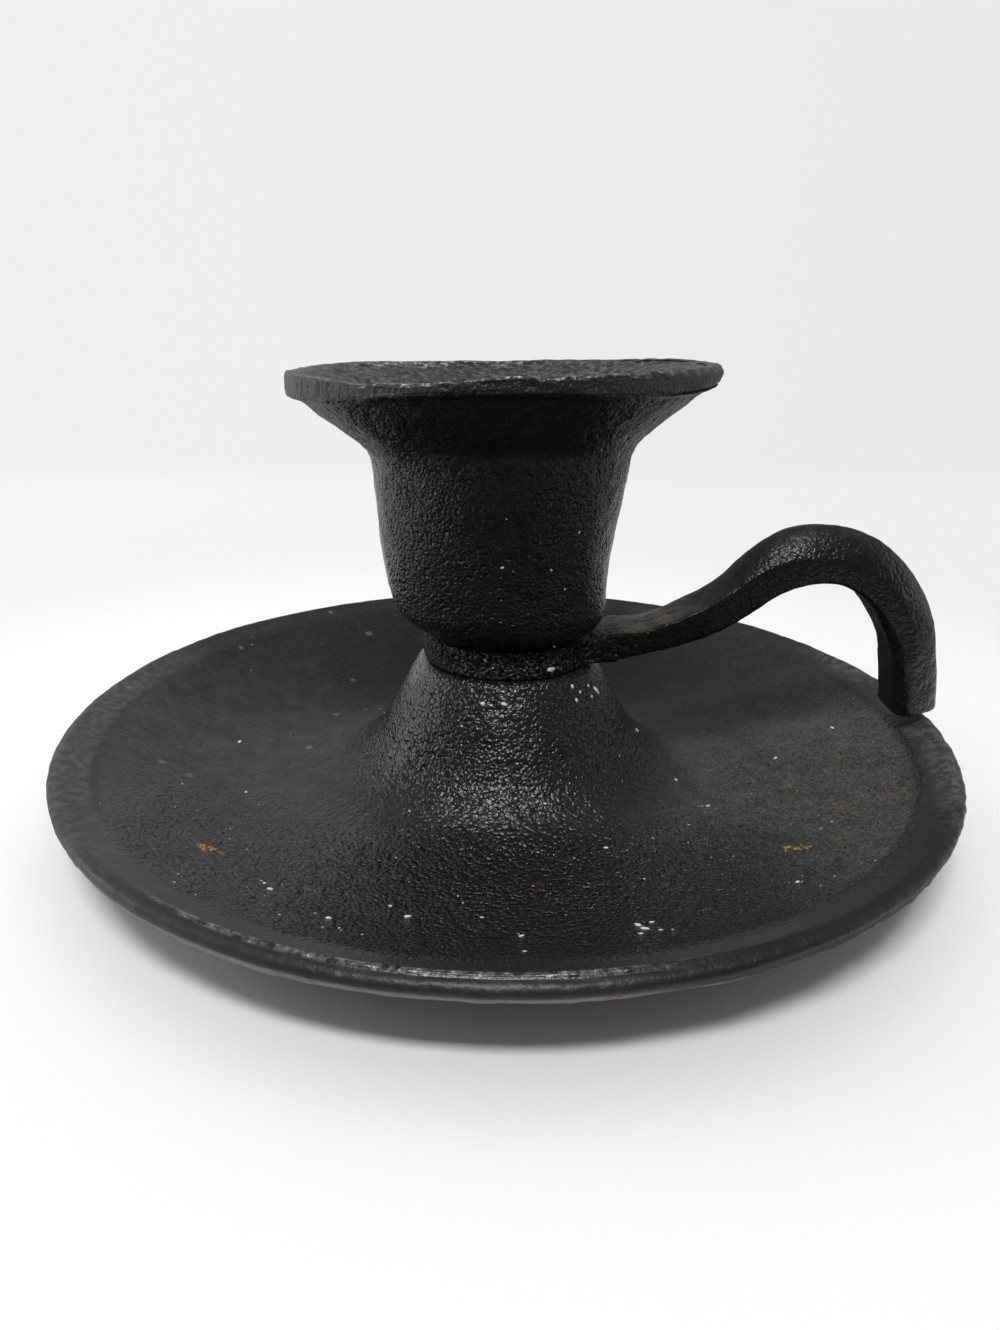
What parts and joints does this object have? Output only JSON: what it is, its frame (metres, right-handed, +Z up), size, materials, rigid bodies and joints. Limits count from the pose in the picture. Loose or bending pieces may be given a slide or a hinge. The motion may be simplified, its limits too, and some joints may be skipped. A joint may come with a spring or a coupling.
{
  "type": "chamberstick",
  "caption": "Low cast iron chamberstick: a flanged candle cup and a looped strap handle clamped on the cone of a round dished drip pan.",
  "frame": {"origin": "centre of the pan's foot ring, on the surface that the chamberstick stands on", "axes": "+Z up along the common centre line of the pan, the cup and the screw, out of the candle bore's mouth; +X from the centre line towards the handle"},
  "size_m": [0.13, 0.13, 0.0619],
  "materials": {
    "pan_iron": "rough",
    "handle_iron": "rough",
    "cup_iron": "rough",
    "screw_steel": "satin",
    "nut_steel": "satin"
  },
  "bodies": {
    "root": {"pan": "pan_iron", "handle": "handle_iron", "cup": "cup_iron", "screw": "screw_steel", "nut": "nut_steel"}
  },
  "joints": []
}
